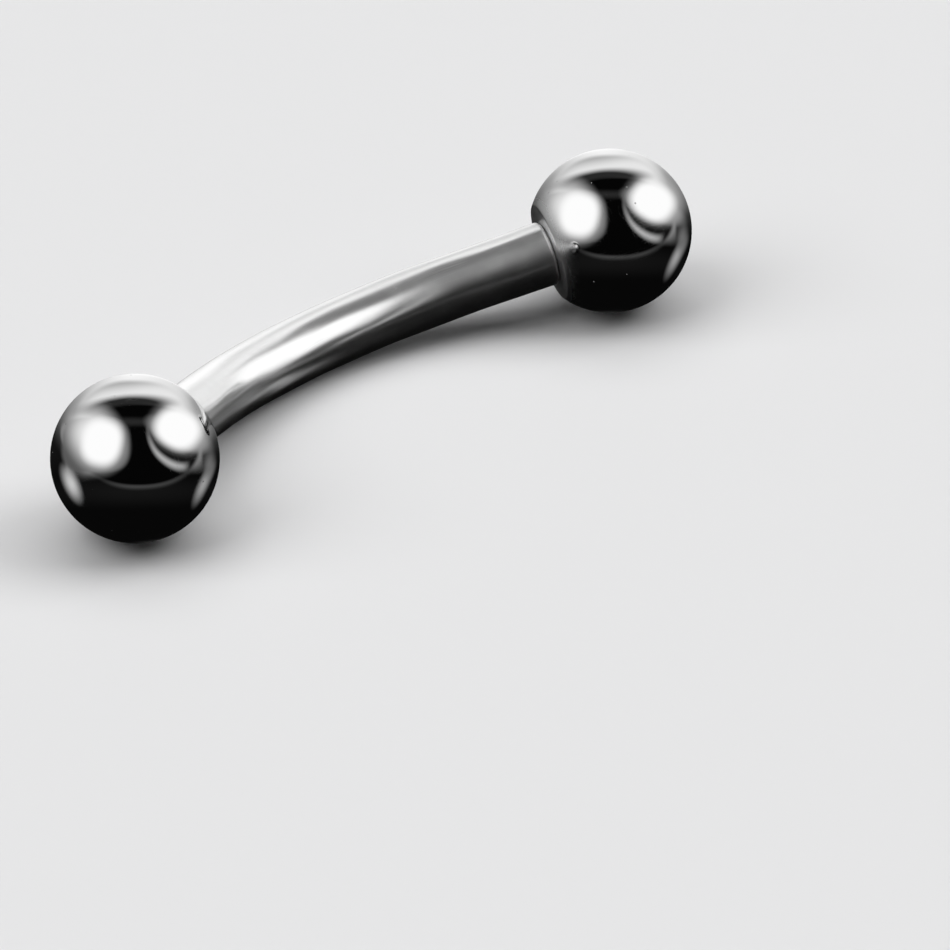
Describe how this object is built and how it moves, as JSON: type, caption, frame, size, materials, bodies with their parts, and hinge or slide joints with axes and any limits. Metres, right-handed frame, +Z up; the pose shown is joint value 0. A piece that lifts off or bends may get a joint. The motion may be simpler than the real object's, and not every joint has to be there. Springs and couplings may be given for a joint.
{
  "type": "eyebrow barbell",
  "caption": "Curved steel body-jewellery bar, threaded inside both ends, closed by a screw-on ball at each end.",
  "frame": {"origin": "on the surface the barbell lies on, under the middle of its box", "axes": "+X from the left ball to the right ball, +Y towards the side the bend bulges to, +Z up"},
  "size_m": [0.0146, 0.004, 0.003],
  "materials": {
    "bar_steel": "polished surgical steel with fine lengthwise polishing marks",
    "ball_steel": "mirror polished surgical steel"
  },
  "bodies": {
    "bar": {"curved_bar": "bar_steel"},
    "left_end": {"left_ball": "ball_steel"},
    "right_end": {"right_ball": "ball_steel"}
  },
  "joints": [
    {"name": "left_ball_draw", "type": "slide", "parent": "bar", "child": "left_end", "axis": [-0.893, -0.4067, 0.1929], "range_m": [0, 0.002]},
    {"name": "right_ball_draw", "type": "slide", "parent": "bar", "child": "right_end", "axis": [0.893, -0.4067, 0.1929], "range_m": [0, 0.002]}
  ]
}
